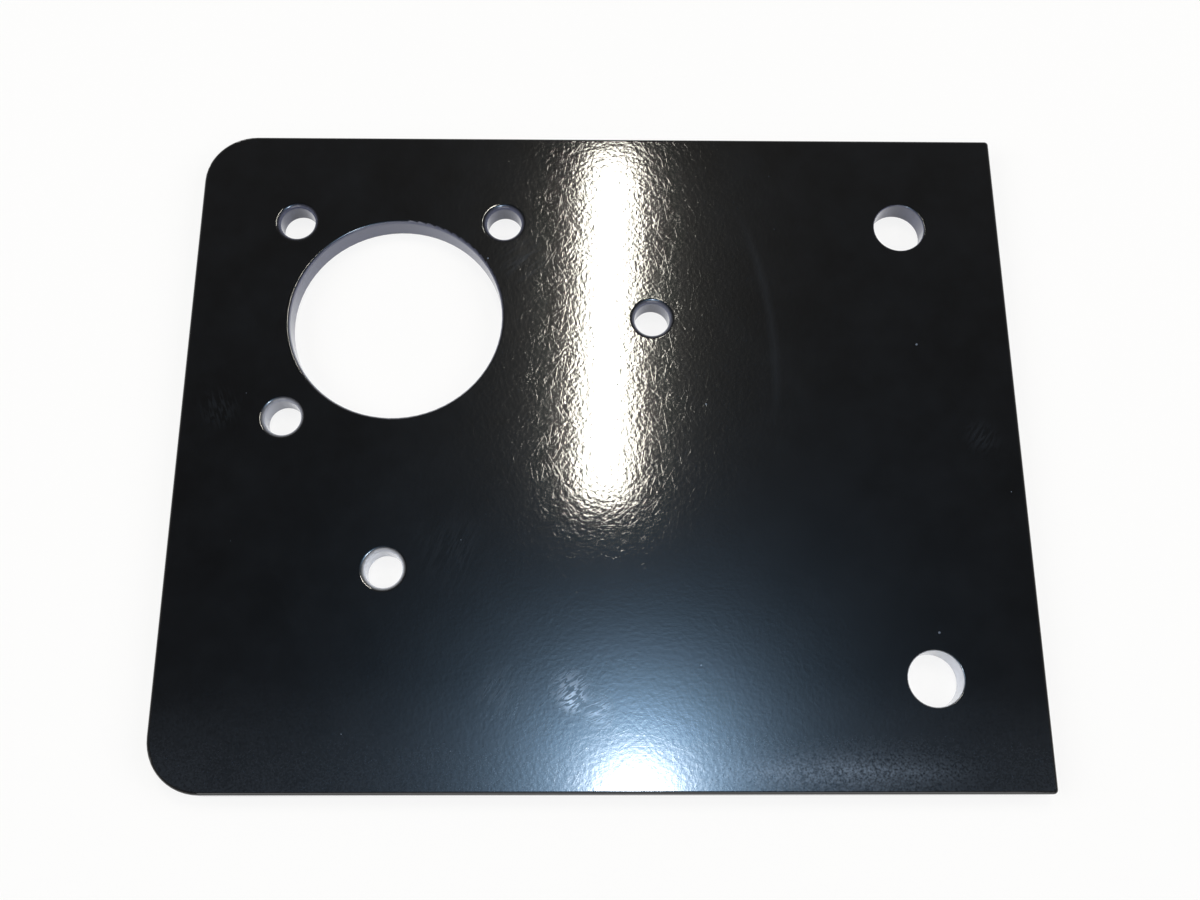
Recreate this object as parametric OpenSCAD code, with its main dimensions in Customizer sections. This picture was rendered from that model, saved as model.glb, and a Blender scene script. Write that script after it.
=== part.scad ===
// Tarp spool mounting bracket
//
// One flat plate of quarter inch steel, coated black. A large bore lets the spool's hub
// through, three bolt holes stand on a square around it, two more holes stand further out
// and a pair of larger bolt holes at the square end fastens the bracket.
//
// Millimetres, +Z up, lying flat. The origin is on the axis of the spool bore, in the plane
// of the underside. +X runs to the square end and +Y to the edge nearest the bore.

/* [Plate] */
// Length, from the rounded end to the square end
plate_l = 203.2; // [185:0.1:260]
// Width, from the far edge to the near edge
plate_w = 165.1; // [150:0.1:220]
// Thickness of the plate
plate_t = 6.35; // [4:0.05:12]
// Radius of the two corners at the rounded end
round_corner_r = 12.7; // [3:0.1:20]
// Radius of the two corners at the square end, where only the coating softens them
square_corner_r = 1; // [0.9:0.1:20]
// Radius that softens the upper and lower edges all round the plate
edge_r = 0.8; // [0.2:0.05:0.85]

/* [Spool bore] */
// Diameter of the spool bore
bore_d = 52.4; // [30:0.1:60]
// Distance from the rounded end to the bore's axis
bore_from_end = 50.8; // [45:0.1:70]
// Distance from the far edge to the bore's axis
bore_from_far = 50.8; // [45:0.1:70]
// Radius of the bore's rolled upper rim
bore_rim_r = 0.7; // [0.3:0.05:2]

/* [Spool bolts] */
// Diameter of the bolt holes around the bore
bolt_d = 8.7; // [6:0.1:12]
// Side of the square, centred on the bore, that has a bolt hole at three of its corners
bolt_square = 52.4; // [50:0.1:64]

/* [Side holes] */
// Diameter of the two holes beyond the bolt square
side_d = 8.7; // [6:0.1:12]
// Distance from the bore's axis to each of them
side_reach = 63.5; // [48:0.1:75]

/* [End holes] */
// Diameter of the two holes at the square end
end_d = 12.7; // [8:0.1:18]
// Distance from the square end to their axes
end_inset = 25.4; // [15:0.1:40]
// Distance from the far edge, and from the near edge, to the hole closest to it
end_margin = 25.4; // [15:0.1:40]
// Radius of their rolled upper rims
end_rim_r = 0.4; // [0.2:0.05:2]

/* [Rims] */
// Radius of the rolled upper rims of the bolt holes and the side holes
small_rim_r = 1.2; // [0.3:0.05:2]
// Radius that breaks the lower rim of every hole
lower_rim_r = 0.4; // [0.1:0.05:1]

/* [Hidden] */
$fn = 96;
// How far a cut runs past the face it opens
over = 1;
// The plate's four sides
round_x = -bore_from_end;
square_x = round_x + plate_l;
far_y = bore_from_far;
near_y = far_y - plate_w;
// Corners, in turn from the square end's far one: place of the arc's centre, radius, first angle
corners = [
    [square_x - square_corner_r, far_y - square_corner_r, square_corner_r, 0],
    [round_x + round_corner_r, far_y - round_corner_r, round_corner_r, 90],
    [round_x + round_corner_r, near_y + round_corner_r, round_corner_r, 180],
    [square_x - square_corner_r, near_y + square_corner_r, square_corner_r, 270],
];
// Straight edges: place of the starting end, angle that the edge faces, length
edges = [
    [square_x, far_y - square_corner_r, 0, plate_w - 2 * square_corner_r],
    [round_x + round_corner_r, far_y, 90, plate_l - round_corner_r - square_corner_r],
    [round_x, near_y + round_corner_r, 180, plate_w - 2 * round_corner_r],
    [square_x - square_corner_r, near_y, 270, plate_l - round_corner_r - square_corner_r],
];
// Bolt holes at three corners of the square: the corner nearest the plate's middle has none
bolt_places = [for (side = [[-1, 1], [1, 1], [-1, -1]]) side * bolt_square / 2];
// One side hole toward the square end and one toward the near edge
side_places = [[side_reach, 0], [0, -side_reach]];
// End holes, far and near
end_places = [for (y = [far_y - end_margin, near_y + end_margin]) [square_x - end_inset, y]];

// What rounding a corner to radius r removes: a square less the quarter circle about its corner
module outside_quarter(r) {
    difference() {
        square(r + over);
        circle(r);
    }
}

// The plate seen from above, with its four corners
module outline() {
    difference() {
        translate([round_x, near_y])
            square([plate_l, plate_w]);
        for (corner = corners)
            translate([corner[0], corner[1]])
                rotate(corner[3])
                    outside_quarter(corner[2]);
    }
}

// What softening an edge removes, in section: the edge is at the origin and faces +X and +Y
module edge_section() {
    translate([-edge_r, -edge_r])
        outside_quarter(edge_r);
}

// The same all round the plate, for upper edges in the plane z = 0
module edge_cut() {
    for (edge = edges)
        translate([edge[0], edge[1], 0])
            rotate([90, 0, edge[2]])
                linear_extrude(edge[3])
                    edge_section();
    for (corner = corners)
        translate([corner[0], corner[1], 0])
            rotate(corner[3])
                rotate_extrude(angle = 90)
                    translate([corner[2], 0])
                        edge_section();
}

// What rolling a hole's rim removes, in half section: the wall is at x = wall_r, the face at y = 0
module rim_section(wall_r, rim_r) {
    translate([wall_r + rim_r, -rim_r])
        mirror([1, 0])
            outside_quarter(rim_r);
}

// A hole right through the plate, with its upper rim rolled and its lower rim broken
module hole(d, upper_rim_r) {
    rotate_extrude() {
        translate([0, -over])
            square([d / 2, plate_t + 2 * over]);
        translate([0, plate_t])
            rim_section(d / 2, upper_rim_r);
        mirror([0, 1])
            rim_section(d / 2, lower_rim_r);
    }
}

module holes(places, d, upper_rim_r) {
    for (place = places)
        translate([place[0], place[1], 0])
            hole(d, upper_rim_r);
}

module mounting_plate() {
    color("#1b1b1f")
        difference() {
            linear_extrude(plate_t)
                outline();
            translate([0, 0, plate_t])
                edge_cut();
            mirror([0, 0, 1])
                edge_cut();
            hole(bore_d, bore_rim_r);
            holes(bolt_places, bolt_d, small_rim_r);
            holes(side_places, side_d, small_rim_r);
            holes(end_places, end_d, end_rim_r);
        }
}

mounting_plate();
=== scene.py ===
import math
import bpy
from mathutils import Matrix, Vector


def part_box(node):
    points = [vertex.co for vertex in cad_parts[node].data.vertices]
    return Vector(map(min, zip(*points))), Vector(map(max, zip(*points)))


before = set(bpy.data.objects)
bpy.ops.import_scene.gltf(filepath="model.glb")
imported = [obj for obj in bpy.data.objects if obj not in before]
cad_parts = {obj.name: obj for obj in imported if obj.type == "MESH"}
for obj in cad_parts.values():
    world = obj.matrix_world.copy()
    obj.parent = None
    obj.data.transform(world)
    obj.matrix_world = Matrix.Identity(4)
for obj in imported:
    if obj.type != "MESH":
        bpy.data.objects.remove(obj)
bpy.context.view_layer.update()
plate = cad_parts["mounting_plate"]
plateLow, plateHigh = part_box("mounting_plate")
mm = 0.001
print("frame loaded: plate", [round(v / mm, 2) for v in plateHigh - plateLow], "mm")

scene = bpy.context.scene
scene.view_settings.view_transform = "Standard"


# sRGB hex to the linear colour that shaders take
def hexColour(code):
    channels = [int(code[i:i + 2], 16) / 255 for i in (1, 3, 5)]
    linear = [c / 12.92 if c <= 0.04045 else ((c + 0.055) / 1.055) ** 2.4 for c in channels]
    return (*linear, 1.0)


# one node: plain attributes in settings, then each socket gets a value or a (node, output) link;
# in a colour mix, socket 0 is the share, 6 and 7 are the two colours, and output 2 is the result
def addNode(tree, kind, sockets=None, **settings):
    node = tree.nodes.new(kind)
    for name, value in settings.items():
        setattr(node, name, value)
    for name, value in (sockets or {}).items():
        if isinstance(value, tuple) and isinstance(value[0], bpy.types.Node):
            tree.links.new(value[0].outputs[value[1]], node.inputs[name])
        else:
            node.inputs[name].default_value = value
    return node


def emptyMaterial(name):
    material = bpy.data.materials.new(name)
    material.use_nodes = True
    material.node_tree.nodes.clear()
    return material


# camera: held over the near edge and tipped toward the far one
photoCamera = {
    "place": (46.0, -125.6, 293.0),  # mm
    "tilt": 17.65,  # degrees from straight down
    "roll": -0.86,
    "yaw": -0.12,
    "focal": 1252.9,  # pixels, in a picture of this width
    "pictureWidth": 1200,
    "sensorWidth": 36.0,
    "clipStart": 0.01,  # metres
}


def placeCamera(spec):
    data = bpy.data.cameras.new("camera")
    data.sensor_fit = "HORIZONTAL"
    data.sensor_width = spec["sensorWidth"]
    data.lens = spec["focal"] / spec["pictureWidth"] * spec["sensorWidth"]
    data.clip_start = spec["clipStart"]
    camera = bpy.data.objects.new("camera", data)
    scene.collection.objects.link(camera)
    camera.location = Vector(spec["place"]) * mm
    camera.rotation_euler = [math.radians(spec[a]) for a in ("tilt", "roll", "yaw")]
    scene.camera = camera


placeCamera(photoCamera)
print("camera placed")

# floor: a matte white sheet, which shows no shine, so the plate's outline is sharp against it;
# part of what is seen of it comes from the lamps, so the shadow stays
floorSpec = {"metres": 6.0, "colour": "#f2f2f0", "roughness": 0.9, "whiteShare": 0.85}


def makeFloor(spec):
    bpy.ops.object.select_all(action="DESELECT")
    bpy.ops.mesh.primitive_plane_add(size=spec["metres"], location=(0, 0, plateLow.z))
    floor = bpy.context.object
    floor.name = "floor"
    sheet = emptyMaterial("matte_white_sheet")
    tree = sheet.node_tree
    lit = addNode(tree, "ShaderNodeBsdfPrincipled", {
        "Base Color": hexColour(spec["colour"]),
        "Roughness": spec["roughness"],
        "Specular IOR Level": 0.0,
    })
    white = addNode(tree, "ShaderNodeEmission", {"Strength": 1.0})
    path = addNode(tree, "ShaderNodeLightPath")
    seen = addNode(tree, "ShaderNodeMath", {
        0: (path, "Is Camera Ray"), 1: (path, "Is Glossy Ray")}, operation="MAXIMUM")
    seenOrThrough = addNode(tree, "ShaderNodeMath", {
        0: (seen, 0), 1: (path, "Is Transmission Ray")}, operation="MAXIMUM")
    share = addNode(tree, "ShaderNodeMath", {
        0: (seenOrThrough, 0), 1: spec["whiteShare"]}, operation="MULTIPLY")
    mixed = addNode(tree, "ShaderNodeMixShader", {
        0: (share, 0), 1: (lit, "BSDF"), 2: (white, "Emission")})
    addNode(tree, "ShaderNodeOutputMaterial", {"Surface": (mixed, 0)})
    floor.data.materials.append(sheet)


makeFloor(floorSpec)
print("floor laid")

# lamps: a ceiling light and a soft round lamp beside the lens show in the gloss, a box in front shows
# in the edges and two more fill; places and sizes in mm, turn in degrees, no aim means straight down
lampSpecs = {
    "ceilingLight": {
        "place": (93.5, 784.0, 1800.0), "turn": -1.65, "size": (70.0, 662.0),
        "shape": "RECTANGLE", "watts": 10.6, "colour": "#fffaec", "inGloss": True, "inDiffuse": True},
    "lensLamp": {
        "place": (71.0, -105.5, 300.0), "size": (120.0, 120.0), "fade": 40.3, "power": 9.0,
        "shape": "DISK", "watts": 2.65, "colour": "#fbfdff", "inGloss": True, "inDiffuse": False},
    "lensGlow": {
        "place": (71.4, -98.5, 301.0), "size": (640.0, 640.0), "fade": 46.7, "power": 2.0,
        "shape": "DISK", "watts": 22.3, "colour": "#aed8ff", "inGloss": True, "inDiffuse": False},
    "frontBox": {
        "place": (50.0, -1300.0, 700.0), "aim": (50.0, -30.0, 0.0), "size": (1200.0, 900.0),
        "shape": "RECTANGLE", "watts": 6.5, "colour": "#ffffff", "inGloss": True, "inDiffuse": False},
    "leftBox": {
        "place": (-1000.0, -100.0, 900.0), "aim": (50.0, -30.0, 0.0), "size": (900.0, 900.0),
        "shape": "RECTANGLE", "watts": 10.0, "colour": "#ffffff", "inGloss": False, "inDiffuse": True},
    "rightBox": {
        "place": (1100.0, -100.0, 900.0), "aim": (50.0, -30.0, 0.0), "size": (900.0, 900.0),
        "shape": "RECTANGLE", "watts": 10.0, "colour": "#ffffff", "inGloss": False, "inDiffuse": True},
}
lampMiddle = (0.5, 0.5, 0.0)  # a lamp's own coordinates run from 0 to 1 across it


# a lamp that is brightest in its middle: its light is (1 + (distance / fade) ** 2) ** -power
def fadeFromMiddle(data, spec):
    data.use_nodes = True
    tree = data.node_tree
    tree.nodes.clear()
    face = addNode(tree, "ShaderNodeNewGeometry")
    away = addNode(tree, "ShaderNodeVectorMath", {
        0: (face, "Parametric"), 1: lampMiddle}, operation="DISTANCE")
    ratio = addNode(tree, "ShaderNodeMath", {
        0: (away, "Value"), 1: spec["size"][0] / spec["fade"]}, operation="MULTIPLY")
    spread = addNode(tree, "ShaderNodeMath", {
        0: (ratio, 0), 1: (ratio, 0), 2: 1.0}, operation="MULTIPLY_ADD")
    level = addNode(tree, "ShaderNodeMath", {0: (spread, 0), 1: -spec["power"]}, operation="POWER")
    light = addNode(tree, "ShaderNodeEmission", {"Strength": (level, 0)})
    addNode(tree, "ShaderNodeOutputLight", {"Surface": (light, 0)})


def hangLamp(name, spec):
    data = bpy.data.lights.new(name, "AREA")
    data.shape = spec["shape"]
    data.size = spec["size"][0] * mm
    data.size_y = spec["size"][1] * mm
    data.energy = spec["watts"]
    data.color = hexColour(spec["colour"])[:3]
    if "fade" in spec:
        fadeFromMiddle(data, spec)
    lamp = bpy.data.objects.new(name, data)
    scene.collection.objects.link(lamp)
    lamp.location = Vector(spec["place"]) * mm
    if "aim" in spec:
        toAim = Vector(spec["aim"]) - Vector(spec["place"])
        lamp.rotation_euler = toAim.to_track_quat("-Z", "Y").to_euler()
    if "turn" in spec:
        lamp.rotation_euler.z += math.radians(spec["turn"])
    lamp.visible_camera = False
    lamp.visible_glossy = spec["inGloss"]
    lamp.visible_diffuse = spec["inDiffuse"]


for lampName, lampSpec in lampSpecs.items():
    hangLamp(lampName, lampSpec)
print("lamps hung:", ", ".join(lampSpecs))

# dim room: a white backdrop low down, grey walls and a darker ceiling, so the gloss stays black;
# heights are those of a view, from 0 at the horizon to 1 overhead
roomSpec = {
    "backdrop": "#ffffff", "backdropTo": 0.1,
    "walls": "#828282", "wallsFrom": 0.25, "wallsTo": 0.68,
    "ceiling": "#2e2e2f", "ceilingFrom": 1.0,
}


def dimRoom(spec):
    world = bpy.data.worlds.new("dim_room")
    scene.world = world
    world.use_nodes = True
    tree = world.node_tree
    tree.nodes.clear()
    where = addNode(tree, "ShaderNodeTexCoord")
    split = addNode(tree, "ShaderNodeSeparateXYZ", {"Vector": (where, "Generated")})
    upward = addNode(tree, "ShaderNodeMapRange", {
        "Value": (split, "Z"), "From Min": spec["wallsTo"], "From Max": spec["ceilingFrom"]})
    tone = addNode(tree, "ShaderNodeMix", {
        0: (upward, 0), 6: hexColour(spec["walls"]), 7: hexColour(spec["ceiling"])}, data_type="RGBA")
    low = addNode(tree, "ShaderNodeMapRange", {
        "Value": (split, "Z"), "From Min": spec["backdropTo"], "From Max": spec["wallsFrom"],
        "To Min": 1.0, "To Max": 0.0})
    path = addNode(tree, "ShaderNodeLightPath")
    gloss = addNode(tree, "ShaderNodeMath", {
        0: (path, "Is Glossy Ray"), 1: (path, "Is Transmission Ray")}, operation="MAXIMUM")
    lowInGloss = addNode(tree, "ShaderNodeMath", {0: (low, 0), 1: (gloss, 0)}, operation="MULTIPLY")
    white = addNode(tree, "ShaderNodeMath", {
        0: (path, "Is Camera Ray"), 1: (lowInGloss, 0)}, operation="MAXIMUM")
    seen = addNode(tree, "ShaderNodeMix", {
        0: (white, 0), 6: (tone, 2), 7: hexColour(spec["backdrop"])}, data_type="RGBA")
    light = addNode(tree, "ShaderNodeBackground", {"Color": (seen, 2), "Strength": 1.0})
    addNode(tree, "ShaderNodeOutputWorld", {"Surface": (light, "Background")})


dimRoom(roomSpec)
print("room set")

# gloss black powder coat: a hard clear gloss over black, so lamps show as sharp white shapes that the
# orange peel breaks into grain at their borders; sizes and places in mm
coatSpec = {
    "colour": "#060607",
    # the pale of dust and scuffed coat, also used for painted glints and painted glare near the lamp
    # beside the lens
    "dustAndGlintColour": "#a0b0c6",  # dust and scuffed coat
    "upperFrom": 0.98,  # marks lie where the surface faces up by more than this
    # the walls of the holes are painted grey, a painted reflection of the bright floor in them, and
    # painted lighter toward the near edge as painted light;
    # from upright walls the grey thins out over the rims, until they lie level with the face
    "wall": {
        "fromEdge": 10.0, "uprightTo": 0.5, "levelFrom": 0.98,
        "far": "#5f637a", "farY": 10.0, "near": "#d8dce6", "nearY": -60.0},
    "haze": {"roughness": 0.28, "level": 0.02, "ior": 1.5},
    "clear": {"roughness": 0.07, "ior": 1.56},
    "peel": {"wave": 0.85, "height": 0.012, "detail": 1.0, "roughness": 0.4},  # wave: crest to crest
    # wipe marks are some hundredths wide; drawn coarser here, so that they show
    "hairline": {
        "turns": range(0, 180, 20), "length": 7.0, "width": 0.35, "height": 0.001,
        "cut": {"low": 0.74, "high": 0.86, "waver": 0.0}},
}
# patches of short scratches, from the plainest to the faintest; those by the lamp beside the lens are
# painted much paler, as painted glints of it
scuffAndGlintSpecs = [
    {"centre": (44.4, -94.0), "radius": 3.6, "turn": 38.0, "length": 2.6, "width": 0.6, "level": 0.9},
    {"centre": (43.8, -91.4), "radius": 6.0, "turn": 38.0, "length": 2.6, "width": 0.6, "level": 0.45},
    {"centre": (49.8, -96.0), "radius": 4.2, "turn": 23.0, "length": 5.0, "width": 0.6, "level": 0.6},
    {"centre": (28.2, -92.5), "radius": 9.0, "turn": 60.0, "length": 7.0, "width": 0.6, "level": 0.04},
    {"centre": (32.4, 15.8), "radius": 9.0, "turn": 37.0, "length": 9.0, "width": 0.7, "level": 0.03},
    {"centre": (-41.5, -24.0), "radius": 7.0, "turn": 110.0, "length": 4.0, "width": 0.8, "level": 0.016},
    {"centre": (143.0, -31.0), "radius": 6.0, "turn": 57.0, "length": 4.0, "width": 0.8, "level": 0.016},
    {"centre": (16.5, -59.0), "radius": 13.0, "turn": 68.0, "length": 9.0, "width": 0.8, "level": 0.012},
]
# the other marks on the upper face
markSpec = {
    "scuffCut": {"low": 0.42, "high": 0.62, "waver": 0.9},
    "arc": {
        "centre": (-24.4, -12.6), "radius": 118.1, "width": 1.6, "level": 0.012,
        "middleY": 1.0, "fadeFrom": 15.0, "reach": 30.0, "fromX": 0.0},
    "specks": {"apart": 26.0, "radius": 0.3, "bareShare": 0.5, "level": 0.3},
    "film": {
        "cloud": 14.0, "detail": 6.0, "roughness": 0.65, "low": 0.35, "high": 0.75, "level": 0.008},
    # painted glare and painted glints of the lamp beside the lens, along the near edge
    "paintedNearEdgeSheen": {
        "grain": 0.5, "detail": 1.0, "low": 0.3, "high": 0.75, "level": 0.3, "edgeShare": 0.3,
        "crest": 5.3, "depth": 15.0, "steepness": 3.0,
        "from": 66.0, "full": 92.0, "fade": 104.0, "to": 140.0,
        "glareDepth": 30.0, "glareLevel": 0.056},
}
faceHeight = plateHigh.z / mm
nearEdge = plateLow.y / mm


# how far a place lies inside the plate's outline
def edgeDistance(tree, place):
    middle = (plateLow + plateHigh) / 2 / mm
    half = (plateHigh - plateLow) / 2 / mm
    offset = addNode(tree, "ShaderNodeVectorMath", {0: (place, 0), 1: middle}, operation="SUBTRACT")
    outward = addNode(tree, "ShaderNodeVectorMath", {0: (offset, 0)}, operation="ABSOLUTE")
    inward = addNode(tree, "ShaderNodeVectorMath", {0: half, 1: (outward, 0)}, operation="SUBTRACT")
    sides = addNode(tree, "ShaderNodeSeparateXYZ", {0: (inward, 0)})
    return addNode(tree, "ShaderNodeMath", {0: (sides, "X"), 1: (sides, "Y")}, operation="MINIMUM")


# fine waves in the coat
def orangePeel(tree, place, spec):
    waves = addNode(tree, "ShaderNodeTexNoise", {
        "Vector": (place, 0), "Scale": 1 / spec["wave"],
        "Detail": spec["detail"], "Roughness": spec["roughness"]})
    return addNode(tree, "ShaderNodeMath", {0: (waves, 0), 1: spec["height"]}, operation="MULTIPLY")


# noise drawn out along one direction and cut to its crests: a field of strokes, 0 to 1
def strokes(tree, place, spec, turn, cut):
    along = addNode(tree, "ShaderNodeMapping", {
        "Vector": (place, 0), "Rotation": (0, 0, math.radians(turn)),
        "Scale": (spec["length"], spec["width"], 1.0)}, vector_type="TEXTURE")
    grain = addNode(tree, "ShaderNodeTexNoise", {
        "Vector": (along, 0), "Scale": 1.0, "Detail": 0.0, "Distortion": cut["waver"]},
        noise_dimensions="2D")
    return addNode(tree, "ShaderNodeMapRange", {
        "Value": (grain, 0), "From Min": cut["low"], "From Max": cut["high"]},
        interpolation_type="SMOOTHSTEP")


# wipe marks in all directions; a lamp lights only those that lie across it, so they look like rings
def hairlines(tree, place, spec):
    total = None
    for turn in spec["turns"]:
        lines = strokes(tree, place, spec, turn, spec["cut"])
        sockets = {0: (lines, 0), 1: spec["height"], 2: (total, 0) if total else 0.0}
        total = addNode(tree, "ShaderNodeMath", sockets, operation="MULTIPLY_ADD")
    return total


# wavering short scratches in a round patch that fades toward its border; where the patch lies by the lamp
# beside the lens, its pale is a painted glint
def scuffAndGlintMark(tree, place, spec, cut):
    lines = strokes(tree, place, spec, spec["turn"], cut)
    away = addNode(tree, "ShaderNodeVectorMath", {
        0: (place, 0), 1: (*spec["centre"], faceHeight)}, operation="DISTANCE")
    level = addNode(tree, "ShaderNodeMapRange", {
        "Value": (away, "Value"), "From Min": 0.0, "From Max": spec["radius"],
        "To Min": spec["level"], "To Max": 0.0}, interpolation_type="SMOOTHSTEP")
    return addNode(tree, "ShaderNodeMath", {0: (lines, 0), 1: (level, 0)}, operation="MULTIPLY")


# one long faint rub, part of a circle
def arcMark(tree, place, spec):
    away = addNode(tree, "ShaderNodeVectorMath", {
        0: (place, 0), 1: (*spec["centre"], faceHeight)}, operation="DISTANCE")
    offLine = addNode(tree, "ShaderNodeMath", {
        0: (away, "Value"), 1: spec["radius"]}, operation="SUBTRACT")
    gap = addNode(tree, "ShaderNodeMath", {0: (offLine, 0)}, operation="ABSOLUTE")
    line = addNode(tree, "ShaderNodeMapRange", {
        "Value": (gap, 0), "From Min": 0.0, "From Max": spec["width"],
        "To Min": spec["level"], "To Max": 0.0})
    split = addNode(tree, "ShaderNodeSeparateXYZ", {0: (place, 0)})
    along = addNode(tree, "ShaderNodeMath", {
        0: (split, "Y"), 1: spec["middleY"]}, operation="SUBTRACT")
    reach = addNode(tree, "ShaderNodeMath", {0: (along, 0)}, operation="ABSOLUTE")
    ends = addNode(tree, "ShaderNodeMapRange", {
        "Value": (reach, 0), "From Min": spec["fadeFrom"], "From Max": spec["reach"],
        "To Min": 1.0, "To Max": 0.0})
    right = addNode(tree, "ShaderNodeMath", {
        0: (split, "X"), 1: spec["fromX"]}, operation="GREATER_THAN")
    part = addNode(tree, "ShaderNodeMath", {0: (ends, 0), 1: (right, 0)}, operation="MULTIPLY")
    return addNode(tree, "ShaderNodeMath", {0: (line, 0), 1: (part, 0)}, operation="MULTIPLY")


# single specks of dust, one to a cell, with a share of the cells left bare
def dustSpecks(tree, place, spec):
    cells = addNode(tree, "ShaderNodeTexVoronoi", {
        "Vector": (place, 0), "Scale": 1 / spec["apart"]}, voronoi_dimensions="2D")
    size = addNode(tree, "ShaderNodeSeparateColor", {0: (cells, "Color")})
    radius = addNode(tree, "ShaderNodeMapRange", {
        "Value": (size, 0), "From Min": spec["bareShare"], "From Max": 1.0,
        "To Min": 0.0, "To Max": spec["radius"] / spec["apart"]})
    inside = addNode(tree, "ShaderNodeMath", {
        0: (cells, "Distance"), 1: (radius, 0)}, operation="LESS_THAN")
    return addNode(tree, "ShaderNodeMath", {0: (inside, 0), 1: spec["level"]}, operation="MULTIPLY")


# a thin film of dust, cloudy at all sizes
def dustFilm(tree, place, spec):
    cloud = addNode(tree, "ShaderNodeTexNoise", {
        "Vector": (place, 0), "Scale": 1 / spec["cloud"],
        "Detail": spec["detail"], "Roughness": spec["roughness"]})
    return addNode(tree, "ShaderNodeMapRange", {
        "Value": (cloud, 0), "From Min": spec["low"], "From Max": spec["high"],
        "To Min": 0.0, "To Max": spec["level"]})


# painted light along the near edge: a faint painted glare over the whole near edge, and in it a denser
# band of painted glints of the lamp beside the lens toward the square end, both broken into fine grain
def paintedNearEdgeSheen(tree, place, spec):
    split = addNode(tree, "ShaderNodeSeparateXYZ", {0: (place, 0)})
    grain = addNode(tree, "ShaderNodeTexNoise", {
        "Vector": (place, 0), "Scale": 1 / spec["grain"], "Detail": spec["detail"]})
    # painted glare, fading away from the near edge
    glare = addNode(tree, "ShaderNodeMapRange", {
        "Value": (split, "Y"), "From Min": nearEdge, "From Max": nearEdge + spec["glareDepth"],
        "To Min": spec["glareLevel"], "To Max": 0.0}, interpolation_type="SMOOTHSTEP")

    # the band rises from the edge to its crest, falls off behind it and fades at both ends
    rise = addNode(tree, "ShaderNodeMapRange", {
        "Value": (split, "Y"), "From Min": nearEdge, "From Max": nearEdge + spec["crest"],
        "To Min": spec["edgeShare"] * spec["level"], "To Max": spec["level"]},
        interpolation_type="SMOOTHSTEP")
    fall = addNode(tree, "ShaderNodeMapRange", {
        "Value": (split, "Y"), "From Min": nearEdge + spec["crest"],
        "From Max": nearEdge + spec["depth"], "To Min": 1.0, "To Max": 0.0})
    steep = addNode(tree, "ShaderNodeMath", {0: (fall, 0), 1: spec["steepness"]}, operation="POWER")
    across = addNode(tree, "ShaderNodeMath", {0: (rise, 0), 1: (steep, 0)}, operation="MULTIPLY")
    start = addNode(tree, "ShaderNodeMapRange", {
        "Value": (split, "X"), "From Min": spec["from"], "From Max": spec["full"]},
        interpolation_type="SMOOTHSTEP")
    stop = addNode(tree, "ShaderNodeMapRange", {
        "Value": (split, "X"), "From Min": spec["fade"], "From Max": spec["to"],
        "To Min": 1.0, "To Max": 0.0}, interpolation_type="SMOOTHSTEP")
    along = addNode(tree, "ShaderNodeMath", {0: (start, 0), 1: (stop, 0)}, operation="MULTIPLY")
    band = addNode(tree, "ShaderNodeMath", {0: (across, 0), 1: (along, 0)}, operation="MULTIPLY")
    speckle = addNode(tree, "ShaderNodeMapRange", {
        "Value": (grain, 0), "From Min": spec["low"], "From Max": spec["high"]})
    dense = addNode(tree, "ShaderNodeMath", {0: (band, 0), 1: (speckle, 0)}, operation="MULTIPLY")
    return addNode(tree, "ShaderNodeMath", {
        0: (glare, 0), 1: (grain, 0), 2: (dense, 0)}, operation="MULTIPLY_ADD")


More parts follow.
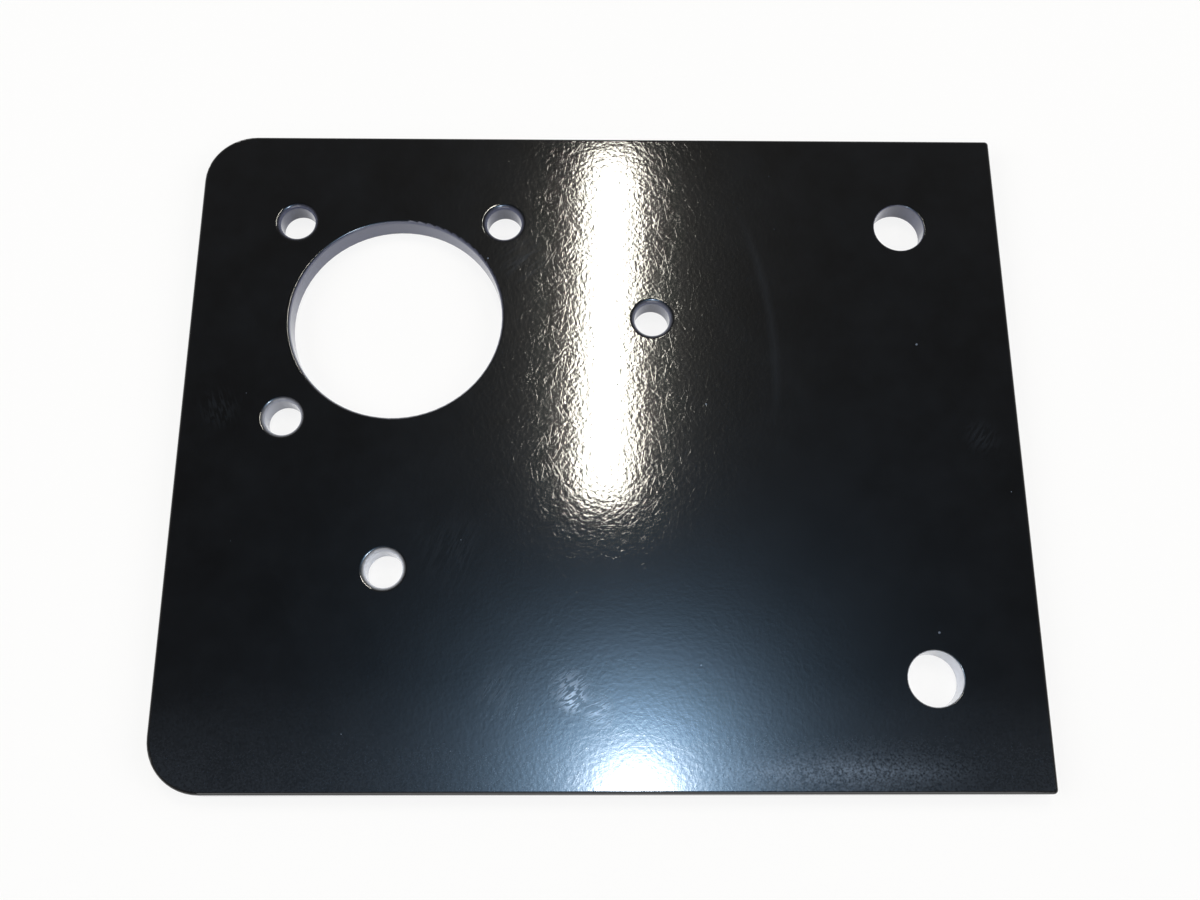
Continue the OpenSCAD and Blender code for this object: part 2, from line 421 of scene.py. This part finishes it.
def powderCoat(spec, scuffsAndGlints, marks):
    material = emptyMaterial("gloss_black_powder_coat")
    tree = material.node_tree
    where = addNode(tree, "ShaderNodeTexCoord")
    place = addNode(tree, "ShaderNodeVectorMath", {
        0: (where, "Object"), "Scale": 1 / mm}, operation="SCALE")
    facing = addNode(tree, "ShaderNodeSeparateXYZ", {0: (where, "Normal")})

    # relief in mm: peel, and wipe marks on top of it
    peel = orangePeel(tree, place, spec["peel"])
    lines = hairlines(tree, place, spec["hairline"])
    relief = addNode(tree, "ShaderNodeMath", {0: (peel, 0), 1: (lines, 0)}, operation="ADD")
    bump = addNode(tree, "ShaderNodeBump", {"Height": (relief, 0), "Strength": 1.0, "Distance": mm})

    # pale marks, painted glints and painted glare, summed and kept to the upper face
    found = [scuffAndGlintMark(tree, place, patch, marks["scuffCut"]) for patch in scuffsAndGlints]
    found.append(arcMark(tree, place, marks["arc"]))
    found.append(dustSpecks(tree, place, marks["specks"]))
    found.append(dustFilm(tree, place, marks["film"]))
    found.append(paintedNearEdgeSheen(tree, place, marks["paintedNearEdgeSheen"]))
    total = found[0]
    for mark in found[1:]:
        total = addNode(tree, "ShaderNodeMath", {0: (total, 0), 1: (mark, 0)}, operation="ADD")
    upper = addNode(tree, "ShaderNodeMath", {
        0: (facing, "Z"), 1: spec["upperFrom"]}, operation="GREATER_THAN")
    marksAndGlints = addNode(tree, "ShaderNodeMath", {
        0: (total, 0), 1: (upper, 0)}, operation="MULTIPLY", use_clamp=True)
    marked = addNode(tree, "ShaderNodeMix", {
        0: (marksAndGlints, 0), 6: hexColour(spec["colour"]), 7: hexColour(spec["dustAndGlintColour"])}, data_type="RGBA")

    # walls and rims of the holes: painted reflection and painted light, paler toward the near edge
    wallSpec = spec["wall"]
    edge = edgeDistance(tree, place)
    within = addNode(tree, "ShaderNodeMath", {
        0: (edge, 0), 1: wallSpec["fromEdge"]}, operation="GREATER_THAN")
    level = addNode(tree, "ShaderNodeMath", {0: (facing, "Z")}, operation="ABSOLUTE")
    upright = addNode(tree, "ShaderNodeMapRange", {
        "Value": (level, 0), "From Min": wallSpec["uprightTo"], "From Max": wallSpec["levelFrom"],
        "To Min": 1.0, "To Max": 0.0})
    wall = addNode(tree, "ShaderNodeMath", {0: (upright, 0), 1: (within, 0)}, operation="MULTIPLY")
    split = addNode(tree, "ShaderNodeSeparateXYZ", {0: (place, 0)})
    near = addNode(tree, "ShaderNodeMapRange", {
        "Value": (split, "Y"), "From Min": wallSpec["farY"], "From Max": wallSpec["nearY"]})
    paintedWallLight = addNode(tree, "ShaderNodeMix", {
        0: (near, 0), 6: hexColour(wallSpec["far"]), 7: hexColour(wallSpec["near"])}, data_type="RGBA")
    colour = addNode(tree, "ShaderNodeMix", {
        0: (wall, 0), 6: (marked, 2), 7: (paintedWallLight, 2)}, data_type="RGBA")

    body = addNode(tree, "ShaderNodeBsdfPrincipled", {
        "Base Color": (colour, 2),
        "Roughness": spec["haze"]["roughness"],
        "IOR": spec["haze"]["ior"],
        "Specular IOR Level": spec["haze"]["level"],
        "Coat Weight": 1.0,
        "Coat Roughness": spec["clear"]["roughness"],
        "Coat IOR": spec["clear"]["ior"],
        "Normal": (bump, "Normal"),
        "Coat Normal": (bump, "Normal"),
    })
    addNode(tree, "ShaderNodeOutputMaterial", {"Surface": (body, "BSDF")})
    return material


plate.material_slots[0].material = powderCoat(coatSpec, scuffAndGlintSpecs, markSpec)
print("powder coat on the plate")
